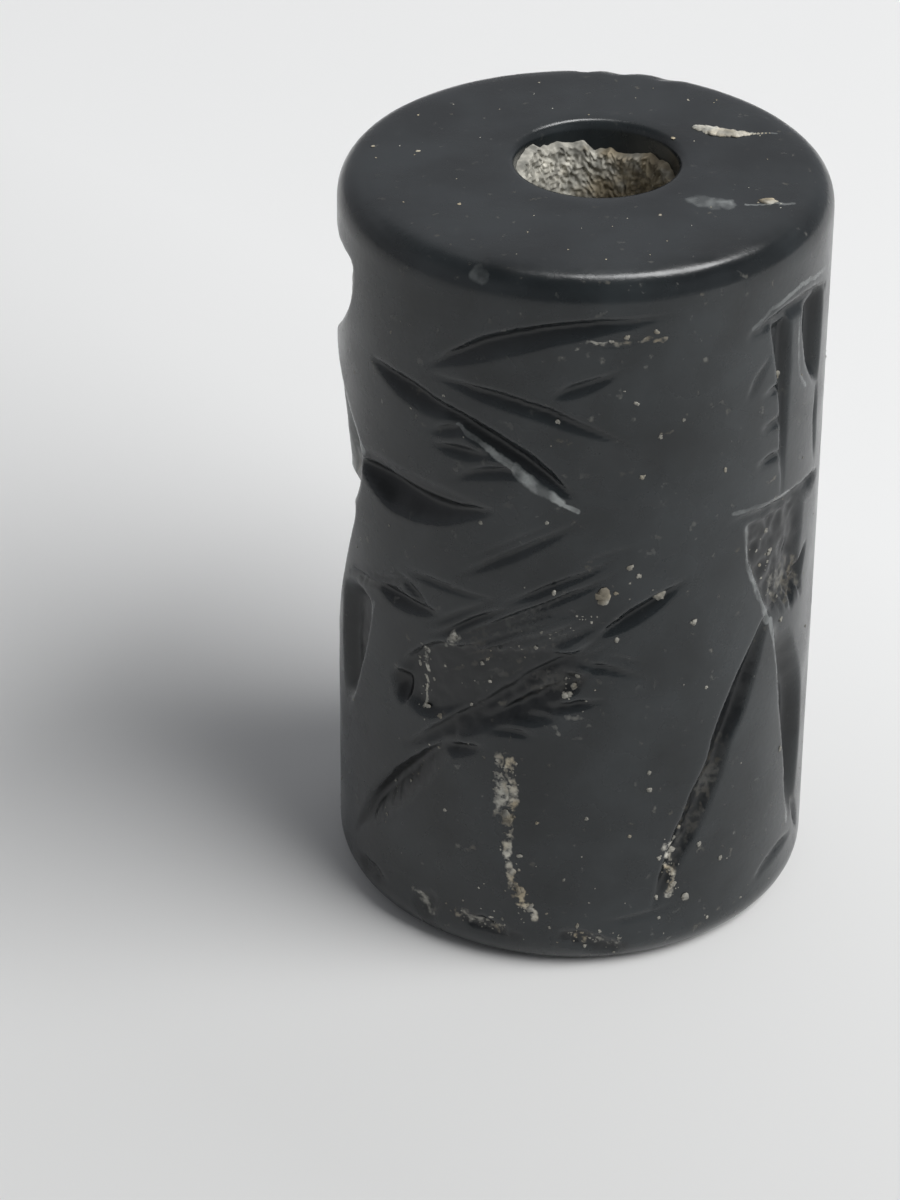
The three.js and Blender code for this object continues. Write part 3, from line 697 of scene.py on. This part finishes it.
def stone_material():
    """Black stone with a worn polish: nearly black with a cool cast and cloudy in tone, with fine turning
    scratches and specks of dust. It is duller in the cuts and painted darker there as shade, painted pale
    as highlights along the lips of the cuts, pale where the rim is bruised and the top smudged, and filmed
    with earth along the dried lines and where the mark earth says."""
    material, tree, shader, place = new_material("black_stone")
    cut = mark_value(tree, "cut")
    cloud = mottled(tree, place, 480, 8, 0.36, 0.64)
    polished = two_tones(tree, cloud, (0.0074, 0.0096, 0.0107), (0.0186, 0.0226, 0.0246))
    grain = mottled(tree, place, 4200, 5, 0.42, 0.72)
    fresh = two_tones(tree, grain, (0.004, 0.005, 0.006), (0.022, 0.0235, 0.024))
    stone_tone = two_tones(tree, mark_value(tree, "rough"), polished, fresh)
    # Painted shade: the deeper the cut, the nearer the stone's colour is taken to near black, as shade in
    # the hollows.
    deep = multiply(tree, cut, 0.65)
    stone_tone = two_tones(tree, deep, stone_tone, (0.0032, 0.0038, 0.0044))
    # Painted highlights: pale streaks along the lips of the cuts where their rounded edges catch the light;
    # the last streak is a pale bruise on the rim.
    lip_highlight_lines = (
        chained([(-31, 78.1), (-22, 75.5), (-16.5, 73.7), (-13, 72.3), (-9.5, 71.2), (-5.5, 70), (-2, 68.9)],
                [0.06, 0.09, 0.14, 0.17, 0.14, 0.08], [0.6, 0.7, 0.9, 1.0, 1.0, 0.9])
        + chained([(-86, 76.2), (-73.5, 72.4), (-63, 67.6)], [0.14, 0.17], [0.9, 0.9])
        + chained([(-57.5, 46.8), (-65, 33.5), (-70, 27.6)], [0.07, 0.07], [0.5, 0.4])
        + chained([(41.5, 62), (42.5, 56.5), (46, 52), (50.5, 46.5)], [0.12, 0.14, 0.12], [0.45, 0.55, 0.55])
        + chained([(51.5, 46.5), (55, 39.9), (58.5, 33.5), (61.5, 27), (64, 19.7), (66, 11.3)],
                  [0.1, 0.09, 0.09, 0.09, 0.08], [0.55, 0.5, 0.45, 0.45, 0.45])
        + chained([(40, 90.3), (46, 91.9), (58, 92.7), (72, 91.2)], [0.07, 0.08, 0.08], [0.3, 0.4, 0.4])
        + chained([(37, 65.1), (52, 64.1), (74, 62.4)], [0.08, 0.1], [0.4, 0.5])
        + chained([(57, 88), (58.4, 80.5), (62.2, 77.3)], [0.07, 0.07], [0.5, 0.5])
        + [((-97, 66), (-101, 53), 0.9, 0.55), ((-27.5, 98.9), (-25, 98.6), 0.16, 0.3)])
    dried_lines = (
        chained([(-19, 32), (-18.3, 27), (-18, 22.5)], [0.16, 0.18], [0.7, 0.8])
        + chained([(-16, 32), (-15.5, 27), (-15.7, 22.4), (-17, 18.8)], [0.15, 0.17, 0.13], [0.8, 0.9, 0.9])
        + chained([(-17, 18.5), (-15.5, 15.3), (-15, 12.8), (-13.5, 11.3), (-11, 9.4), (-9.5, 8)],
                  [0.13, 0.15, 0.2, 0.17, 0.14], [1, 1.1, 1.3, 1.1, 1.1])
        + [((-40, 45), (-40, 35), 0.07, 1.2), ((22, 18), (24, 14), 0.18, 0.9),
           ((24, 14), (23, 10.5), 0.12, 1.0), ((-31, 47.6), (-33, 46), 0.22, 1.0),
           ((-3, 91.6), (16, 92.1), 0.07, 0.45), ((-41, 6.6), (-37, 5.2), 0.24, 0.7),
           ((-29, 6.6), (-18, 5.3), 0.16, 0.6), ((0, 5.2), (11, 4), 0.16, 0.6)])
    top_lines = [((2.72, -1.8), (3.4, -2.0), 0.3, 0.9), ((3.0, -1.9), (3.15, -2.2), 0.18, 0.8),
                 ((3.9, -1.96), (5.1, -1.94), 0.05, 0.7), ((4.1, 1.98), (4.85, 2.05), 0.05, 0.7)]
    top_flat, aloft = top_place(tree, place, 0.12)
    below_top = mathematics(tree, "LESS_THAN", aloft, (stone_length - 0.02) * MILLIMETRE)
    on_top = mathematics(tree, "SUBTRACT", 1.0, below_top)
    grit = mottled(tree, place, 1700, 6, 0.36, 0.6, 0.25, 1.0)
    lips = streaks(tree, unrolled_place(tree, place, 0.06), on_wall(lip_highlight_lines))
    smudges = streaks(tree, top_flat, top_lines)
    # The pale tone below paints highlights on the lips of the cuts, a bruise on the rim and smudges on the
    # top.
    highlight_bruise_and_smudge = mathematics(tree, "ADD", multiply(tree, lips, below_top), multiply(tree, smudges, on_top))
    highlight_bruise_and_smudge = remap(tree, multiply(tree, highlight_bruise_and_smudge, grit), 0.0, 1.0)
    stone_tone = two_tones(tree, highlight_bruise_and_smudge, stone_tone, (0.26, 0.275, 0.27))
    dried = streaks(tree, unrolled_place(tree, place, 0.16), on_wall(dried_lines))
    dried = mathematics(tree, "MAXIMUM", mark_value(tree, "earth"), multiply(tree, dried, below_top))
    flaky = mathematics(tree, "ADD", noise(tree, place, 5200, 5),
                        multiply(tree, noise(tree, place, 1400, 3), 0.5))
    film = multiply(tree, dried, remap(tree, flaky, 0.66, 0.86, 0.0, 1.1))
    film = remap(tree, film, 0.05, 1.0)
    patchy = mottled(tree, place, 260, 2, 0.4, 0.6, 0.3, 1.0)
    flecks = mottled(tree, place, 3100, 3, 0.66, 0.78, 0.0, 0.25)
    dots = multiply(tree, flecks, patchy)
    pale = mathematics(tree, "MAXIMUM", film, dots)
    colour = two_tones(tree, pale, stone_tone, earth_colour(tree, place, 0.6))
    tree.links.new(colour, shader.inputs["Base Color"])
    worn = mottled(tree, place, 700, 5, 0.35, 0.7, 0.2, 0.32)
    duller = mathematics(tree, "ADD", worn, multiply(tree, cut, 0.1))
    rough = mathematics(tree, "ADD", duller, multiply(tree, pale, 0.5))
    tree.links.new(rough, shader.inputs["Roughness"])
    turning = noise(tree, place, 500, 4, (1, 1, 14))
    pitted = mathematics(tree, "ADD", noise(tree, place, 6500, 4), multiply(tree, turning, 0.6))
    tree.links.new(relief(tree, pitted, 0.35, 0.012), shader.inputs["Normal"])
    return material


stone_points = skin_points()
deep_cut = 0.25
stone_marks = {"cut": np.clip(skin_cut / deep_cut, 0, 1), "rough": skin_rough, "earth": skin_earth}
stone = mesh_piece("carved_stone", stone_points, closed_skin(stone_points), stone_material(), stone_marks)
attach(stone, "root")
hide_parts("seal_stone")


# The earth in the bore
# Earth dried on the bore's wall below a clean dark band, with a ragged top. Its colour runs from whitish
# on the left through tan to darker and browner on the right: painted light on the left of the bore and
# painted shade on the right. It is a thin shell that grips the stone.
def bore_earth_points(columns=420, down_rows=150, gripped=0.03, clean_band=0.55, deepest=6.5):
    """A shell round the bore: u runs round the bore and v from the ragged top down its inner face. Its
    thickness is an even coat with coarse lumps and fine grains that thins to nothing at the ragged top
    and at its foot, and the last row goes back up behind it inside the stone."""
    turn = np.linspace(0, 1, columns, endpoint=False)
    run = np.linspace(0, 1, down_rows) ** 1.25
    around, down = np.meshgrid(turn, run)
    ragged = (0.16 * smooth_noise(turn, 0 * turn, 11, 4, 41)
              + 0.12 * smooth_noise(turn, 0 * turn, 34, 4, 42)
              + 0.05 * smooth_noise(turn, 0 * turn, 90, 4, 43))
    full_turn = 2 * np.pi * turn
    top = stone_length - clean_band - 0.22 * np.sin(full_turn) + 0.08 * np.cos(full_turn) + ragged
    below_mouth = 0.03
    top = np.minimum(top, stone_length - bore_mouth_chamfer - below_mouth)
    foot = stone_length - deepest + 0.4 * smooth_noise(turn, 0 * turn, 17, 4, 44)
    height = top + (foot - top) * down
    lumps = (0.25 * smooth_noise(around, down, 22, 13, 45) + 0.3 * smooth_noise(around, down, 70, 48, 46)
             + 0.75 * smooth_noise(around, down, 170, 75, 47))
    ends = soft_step(down / 0.013) * soft_step((1 - down) / 0.08)
    coat, lumpiness, thinnest = 0.19, 0.09, 0.012
    thickness = (coat + lumpiness * np.clip(lumps, -0.9, 1.2)) * ends + thinnest
    inner = bore_radius - thickness
    inner = np.concatenate([inner, np.full((2, columns), bore_radius + gripped)])
    height = np.concatenate([height, height[-1:], height[:1]])
    angle = 2 * np.pi * np.concatenate([around, around[:1], around[:1]])
    return np.stack([bore_middle[0] + inner * np.sin(angle), bore_middle[1] - inner * np.cos(angle),
                     height], -1)


def earth_material(name, lime, brightness=1.0):
    """Dried earth: matt and grainy, in the earth's own tones times a brightness. Lime of None paints it
    whitish on the left and less so to the right, as painted light and shade across the bore."""
    material, tree, shader, place = new_material(name)
    if lime is None:
        # Painted light and shade: whitish on the left of the bore, darker and more clayey towards the right.
        lime = remap(tree, separated(tree, place)["X"], -0.0012, 0.0022, 1.1, 0.1)
    tone = earth_colour(tree, place, lime)
    shade = mottled(tree, place, 1900, 4, 0.3, 0.7, 0.7 * brightness, 1.15 * brightness)
    dark = tree.nodes.new("ShaderNodeMix")
    dark.data_type = "RGBA"
    dark.blend_type = "MULTIPLY"
    dark.inputs["Factor"].default_value = 1
    tree.links.new(tone, dark.inputs[6])
    tree.links.new(shade, dark.inputs[7])
    tree.links.new(dark.outputs[2], shader.inputs["Base Color"])
    shader.inputs["Roughness"].default_value = 0.9
    tree.links.new(relief(tree, noise(tree, place, 9000, 4), 0.6, 0.02), shader.inputs["Normal"])
    return material


earth_points = bore_earth_points()
bore_earth = mesh_piece("bore_earth", earth_points, closed_skin(earth_points)[:, ::-1],
                        earth_material("bore_earth", None))
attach(bore_earth, "root")


# The crumbs
# Grains of earth and lime stuck to the wall and the top: the larger ones where the photograph shows
# them, and finer ones strewn along the dried lines and over the lower half of the wall.
def lump_template(columns=8, rings=4):
    """A ball as rings between two poles: its corners on the unit sphere, and its faces."""
    tilt = np.pi * (np.arange(rings) + 1) / (rings + 1)
    turn = 2 * np.pi * np.arange(columns) / columns
    ring_points = np.stack([np.sin(tilt)[:, None] * np.cos(turn), np.sin(tilt)[:, None] * np.sin(turn),
                            np.cos(tilt)[:, None] + 0 * turn], -1).reshape(-1, 3)
    points = np.concatenate([[[0, 0, 1]], ring_points, [[0, 0, -1]]])
    corner = 1 + np.arange(rings * columns).reshape(rings, columns)
    beside = np.roll(corner, -1, axis=1)
    last = len(points) - 1
    top = np.stack([np.zeros(columns, int), corner[0], beside[0]], 1)
    bottom = np.stack([np.full(columns, last), beside[-1], corner[-1]], 1)
    band = np.stack([corner[:-1], corner[1:], beside[1:], beside[:-1]], -1).reshape(-1, 4)
    split = np.concatenate([band[:, [0, 1, 2]], band[:, [0, 2, 3]]])
    return points, np.concatenate([top, bottom, split])


def strewn_lumps(places, outwards, sizes, flatness, seed):
    """Every lump as a ball squashed towards the stone and dented at random: corner = place + size x
    (1 + dent) x (the ball's corner in the frame of along, across and outward)."""
    random = np.random.default_rng(seed)
    ball, faces = lump_template()
    count = len(places)
    upright = np.where(np.abs(outwards[:, 2:]) > 0.9, [[1.0, 0, 0]], [[0, 0, 1.0]])
    along = np.cross(upright, outwards)
    along /= np.linalg.norm(along, axis=1)[:, None]
    across = np.cross(outwards, along)
    spin = random.uniform(0, 2 * np.pi, count)[:, None]
    first = along * np.cos(spin) + across * np.sin(spin)
    second = across * np.cos(spin) - along * np.sin(spin)
    dent = 1 + random.uniform(-0.32, 0.32, (count, len(ball)))
    stretch = random.uniform(0.6, 1.0, (count, 1))
    local = ball[None] * dent[..., None] * (sizes[:, None, None] / 2)
    points = (places[:, None] + local[..., :1] * first[:, None]
              + local[..., 1:2] * (stretch * second)[:, None]
              + local[..., 2:] * (flatness * outwards)[:, None])
    return points.reshape(-1, 3), (faces[None] + len(ball) * np.arange(count)[:, None, None]).reshape(-1, 3)


def clustered(places, outwards, sizes, seed):
    """Splits every lump into five smaller ones that overlap round its place, for a ragged outline."""
    random = np.random.default_rng(seed)
    count = 5
    jitter = random.normal(0, 0.15, (len(places), count, 3)) * sizes[:, None, None]
    jitter -= (jitter * outwards[:, None]).sum(2)[..., None] * outwards[:, None] * 0.8
    share = random.uniform(0.5, 0.85, (len(places), count))
    return ((places[:, None] + jitter).reshape(-1, 3), np.repeat(outwards, count, axis=0),
            (sizes[:, None] * share).ravel())


def on_the_skin(places):
    """The nearest corner of the carved skin to each place in degrees and hundredths, and its outward
    direction."""
    degrees, height = np.asarray(places, float).T
    column = np.abs((angles[None] - degrees[:, None] + 180) % 360 - 180).argmin(1)
    wall = (rows[:, 3] > 0.05) & (rows[:, 5] > -2)
    wall_rows = np.flatnonzero(wall)
    row = wall_rows[np.abs(rows[wall_rows, 5][None] - height[:, None] / 100 * stone_length).argmin(1)]
    turn = np.radians(angles[column])
    out = rows[row, 3]
    outwards = np.stack([out * np.sin(turn), -out * np.cos(turn), rows[row, 4]], 1)
    return stone_points[row, column], outwards


def wall_crumbs():
    """The places and sizes of the grains on the wall: those seen one by one, those along the dried
    lines, and a fine strewing that is thicker towards the foot."""
    random = np.random.default_rng(71)
    seen = [(5, 56.6, 0.5), (18.5, 56.4, 0.38), (27, 51.2, 0.24), (8, 50.5, 0.16), (10.5, 60.6, 0.18),
            (-7, 57.1, 0.14), (16.5, 27.6, 0.2), (17, 30.3, 0.14), (23.5, 17, 0.22), (24.5, 19, 0.16),
            (25.5, 20.2, 0.14), (24.2, 12.3, 0.2), (27.7, 9.4, 0.24), (20, 10.3, 0.16), (31, 17.2, 0.17),
            (37.5, 13.5, 0.16), (51, 81.3, 0.3), (16.5, 78.8, 0.12), (22.5, 80.3, 0.11), (11, 83.5, 0.13),
            (-6.5, 80.8, 0.14), (12.5, 73.4, 0.16), (-9, 67.2, 0.12), (-24, 65.5, 0.13), (34, 71.9, 0.12),
            (-42.5, 41.4, 0.14), (-35, 35.7, 0.2), (-23, 45.3, 0.12), (-22, 42.4, 0.12), (2, 23.6, 0.13),
            (13, 20.7, 0.12), (59, 24.6, 0.16), (5, 92.4, 0.12), (8, 92.6, 0.12), (14.7, 93.1, 0.15),
            (-3, 42.4, 0.26), (-1.5, 43.1, 0.22), (-1, 45, 0.2), (-17.3, 23.2, 0.42), (-33, 21.7, 0.13),
            (-40, 35.4, 0.2), (-13.5, 12.2, 0.3), (-11, 9.2, 0.26), (-15.5, 14.8, 0.24), (56, 45.5, 0.16),
            (52, 56, 0.18), (49, 60, 0.16), (-31, 47.6, 0.24)]
    lines = [((-19, 31.5), (-18, 22.5), 16), ((-16, 32), (-15.7, 22.4), 18),
             ((-16.5, 18.8), (-15, 12.8), 18), ((-15, 12.8), (-10, 8), 18), ((-40, 45), (-40, 35), 16),
             ((22, 18), (24, 9.5), 22), ((-34, 40), (14, 60), 30), ((-55, 16), (-38, 30), 20),
             ((45, 60), (56, 46.5), 16), ((0, 5.5), (12, 4.2), 22), ((-31, 6.8), (-14, 5.2), 26),
             ((-5, 43), (2, 44.5), 8)]
    smallest = 0.04
    strewn = [np.array(seen)]
    for start, end, count in lines:
        share = random.uniform(0, 1, (count, 1))
        places = np.array(start) + (np.array(end) - np.array(start)) * share
        places = places + random.normal(0, 1, (count, 2)) * (1.3, 1.1)
        sizes = smallest + 0.1 * random.uniform(0, 1, (count, 1)) ** 4
        strewn.append(np.concatenate([places, sizes], 1))
    everywhere = (150, 1)
    degrees = random.uniform(-180, 180, everywhere)
    height = 4 + 90 * random.uniform(0, 1, everywhere) ** 1.6
    sizes = smallest + 0.07 * random.uniform(0, 1, everywhere) ** 3
    strewn.append(np.concatenate([degrees, height, sizes], 1))
    return np.concatenate(strewn)


def top_crumbs():
    """The places and sizes of the grains on the top: a tan flake with a tail, a tan grain and fine
    specks. Each is (right, back, size)."""
    random = np.random.default_rng(72)
    along = np.linspace(0, 1, 26)
    flake = np.stack([np.interp(along, [0, 0.42, 0.8, 1], [2.85, 3.45, 4.2, 4.7]),
                      np.interp(along, [0, 0.42, 0.8, 1], [2.33, 2.0, 1.96, 2.03]),
                      np.interp(along, [0, 0.3, 0.6, 0.8, 1], [0.3, 0.52, 0.42, 0.16, 0.05])], 1)
    grains = [(4.45, -1.79, 0.46), (4.2, -1.88, 0.08), (4.75, -1.92, 0.07), (-4.21, 0.82, 0.12),
              (-5.35, 1.08, 0.1), (-3.17, -2.1, 0.12), (-4.23, 2.89, 0.1), (2.7, 3.92, 0.1),
              (2.23, 1.69, 0.14), (1.75, -2.6, 0.09)]
    turn = random.uniform(0, 2 * np.pi, 34)
    radius = np.sqrt(random.uniform(2.9 ** 2, 5.3 ** 2, 34))
    dust = np.stack([radius * np.sin(turn), radius * np.cos(turn), random.uniform(0.03, 0.06, 34)], 1)
    return np.concatenate([flake, grains, dust])


wall_list = wall_crumbs()
wall_places, wall_outwards = on_the_skin(wall_list[:, :2])
lumps = clustered(wall_places, wall_outwards, wall_list[:, 2], 75)
crumb_points, crumb_faces = strewn_lumps(*lumps, 0.42, 73)
crumbs = mesh_piece("wall_crumbs", crumb_points, crumb_faces, earth_material("limy_earth", 0.8, 0.6))
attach(crumbs, "root")

top_list = top_crumbs()
top_places = np.concatenate([top_list[:, :2], np.full((len(top_list), 1), stone_length)], 1)
top_outwards = np.tile([0.0, 0.0, 1.0], (len(top_list), 1))
flake_points, flake_faces = strewn_lumps(top_places, top_outwards, top_list[:, 2], 0.22, 74)
flakes = mesh_piece("top_crumbs", flake_points, flake_faces, earth_material("clayey_earth", 0.45, 1.5))
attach(flakes, "root")


# The floor
# A plain pale surface under the seal, far wider than the view, painted a little lighter to the back right
# where the light falls more strongly.
def floor_piece():
    """One flat square, four corners, at the height that the seal stands on."""
    half = 1500.0
    corners = np.array([(-half, -half, 0), (half, -half, 0), (half, half, 0), (-half, half, 0)], float)
    material, tree, shader, place = new_material("pale_floor")
    split = separated(tree, place)
    # Painted light: the colour grows lighter along the diagonal to the back right.
    painted_light_diagonal = mathematics(tree, "ADD", split["X"], split["Y"])
    share = remap(tree, painted_light_diagonal, -0.02, 0.025)
    tone = two_tones(tree, share, (0.74, 0.74, 0.73), (0.95, 0.95, 0.94))
    tree.links.new(tone, shader.inputs["Base Color"])
    shader.inputs["Roughness"].default_value = 0.9
    return mesh_piece("floor", corners, np.array([[0, 1, 2, 3]]), material)


floor = floor_piece()


# The light
# One soft lamp from the right and high up throws the shadow. A weaker one above and behind draws only
# the bright line on the rim. The sky is pale low down behind and to the sides and dim overhead and in
# front, as a room round a table is.
def soft_lamp(name, place, length_way, length, width, power):
    """A rectangular lamp that faces the seal, with its length turned as near to a given way as it can be.
    Place and sizes are in metres."""
    light = bpy.data.lights.new(name, "AREA")
    light.shape = "RECTANGLE"
    light.size = length
    light.size_y = width
    light.energy = power
    lamp = bpy.data.objects.new(name, light)
    back = (Vector(place) - Vector((0, 0, stone_length / 2 * MILLIMETRE))).normalized()
    side = back.cross(Vector(length_way)).normalized()
    lamp.matrix_world = (Matrix.Translation(place)
                         @ Matrix((side.cross(back), side, back)).transposed().to_4x4())
    bpy.context.scene.collection.objects.link(lamp)
    return lamp


def room_sky():
    """A sky whose brightness is worked out from the direction: bright low down behind, less so to the
    sides and near the horizon, dim elsewhere, and even and pale where the camera sees it past the floor."""
    world = bpy.data.worlds.new("room_sky")
    world.use_nodes = True
    tree = world.node_tree
    background = tree.nodes["Background"]
    direction = tree.nodes.new("ShaderNodeSeparateXYZ")
    tree.links.new(tree.nodes.new("ShaderNodeTexCoord").outputs["Generated"], direction.inputs["Vector"])
    behind = remap(tree, direction.outputs["Y"], -0.35, 0.5)
    low = remap(tree, direction.outputs["Z"], 0.55, 0.85, 1.0, 0.0)
    horizon = remap(tree, direction.outputs["Z"], 0.415, 0.465, 0.65, 1.0)
    glow = multiply(tree, multiply(tree, behind, low), horizon)
    sideways = remap(tree, mathematics(tree, "ABSOLUTE", direction.outputs["X"]), 0.0, 0.9)
    side = multiply(tree, multiply(tree, sideways, low), 0.65)
    bright = mathematics(tree, "MAXIMUM", glow, side)
    level = remap(tree, bright, 0.0, 1.0, 0.13, 0.5)
    seen = tree.nodes.new("ShaderNodeLightPath").outputs["Is Camera Ray"]
    level = mathematics(tree, "MAXIMUM", level, seen)
    tree.links.new(level, background.inputs["Strength"])
    background.inputs["Color"].default_value = (0.93, 0.95, 1.0, 1)
    bpy.context.scene.world = world


key_lamp = soft_lamp("key_lamp", (0.36, -0.18, 0.44), (0.18, 0.36, 0), 0.5, 0.4, 4.0)
key_lamp.visible_glossy = False
rim_lamp = soft_lamp("rim_lamp", (0.123, 0.224, 0.53), (0.227, -0.078, -0.019), 0.24, 0.14, 1.4)
rim_lamp.visible_diffuse = False
room_sky()
bpy.context.scene.view_settings.view_transform = "Standard"


# The camera
# It looks down on the seal from the front with a long lens, where the photograph was taken from.
def photo_camera():
    """A camera at a place found from the seal's outline and bore in the photograph: it stands so far
    behind the seal's middle along its line of sight, moved a little to its left and down."""
    look_down = np.radians(31.863)
    roll = np.radians(0.505)
    back = np.array([0, -np.cos(look_down), np.sin(look_down)])
    right = np.array([1.0, 0, 0])
    up = np.array([0, np.sin(look_down), np.cos(look_down)])
    length_in_radii, distance, leftward, downward = 3.242, 18.85, 0.529, 0.354
    place = np.array([0, 0, length_in_radii / 2]) + distance * back - leftward * right - downward * up
    place = place * stone_radius * MILLIMETRE
    turned_right = np.cos(roll) * right + np.sin(roll) * up
    turned_up = np.cos(roll) * up - np.sin(roll) * right
    data = bpy.data.cameras.new("photo_camera")
    data.sensor_fit = "VERTICAL"
    data.sensor_height = 36
    data.lens = 135
    data.clip_start = 0.005
    data.clip_end = 20
    camera = bpy.data.objects.new("photo_camera", data)
    turn = Matrix((turned_right, turned_up, back)).transposed()
    camera.matrix_world = Matrix.Translation(place) @ turn.to_4x4()
    bpy.context.scene.collection.objects.link(camera)
    bpy.context.scene.camera = camera


photo_camera()
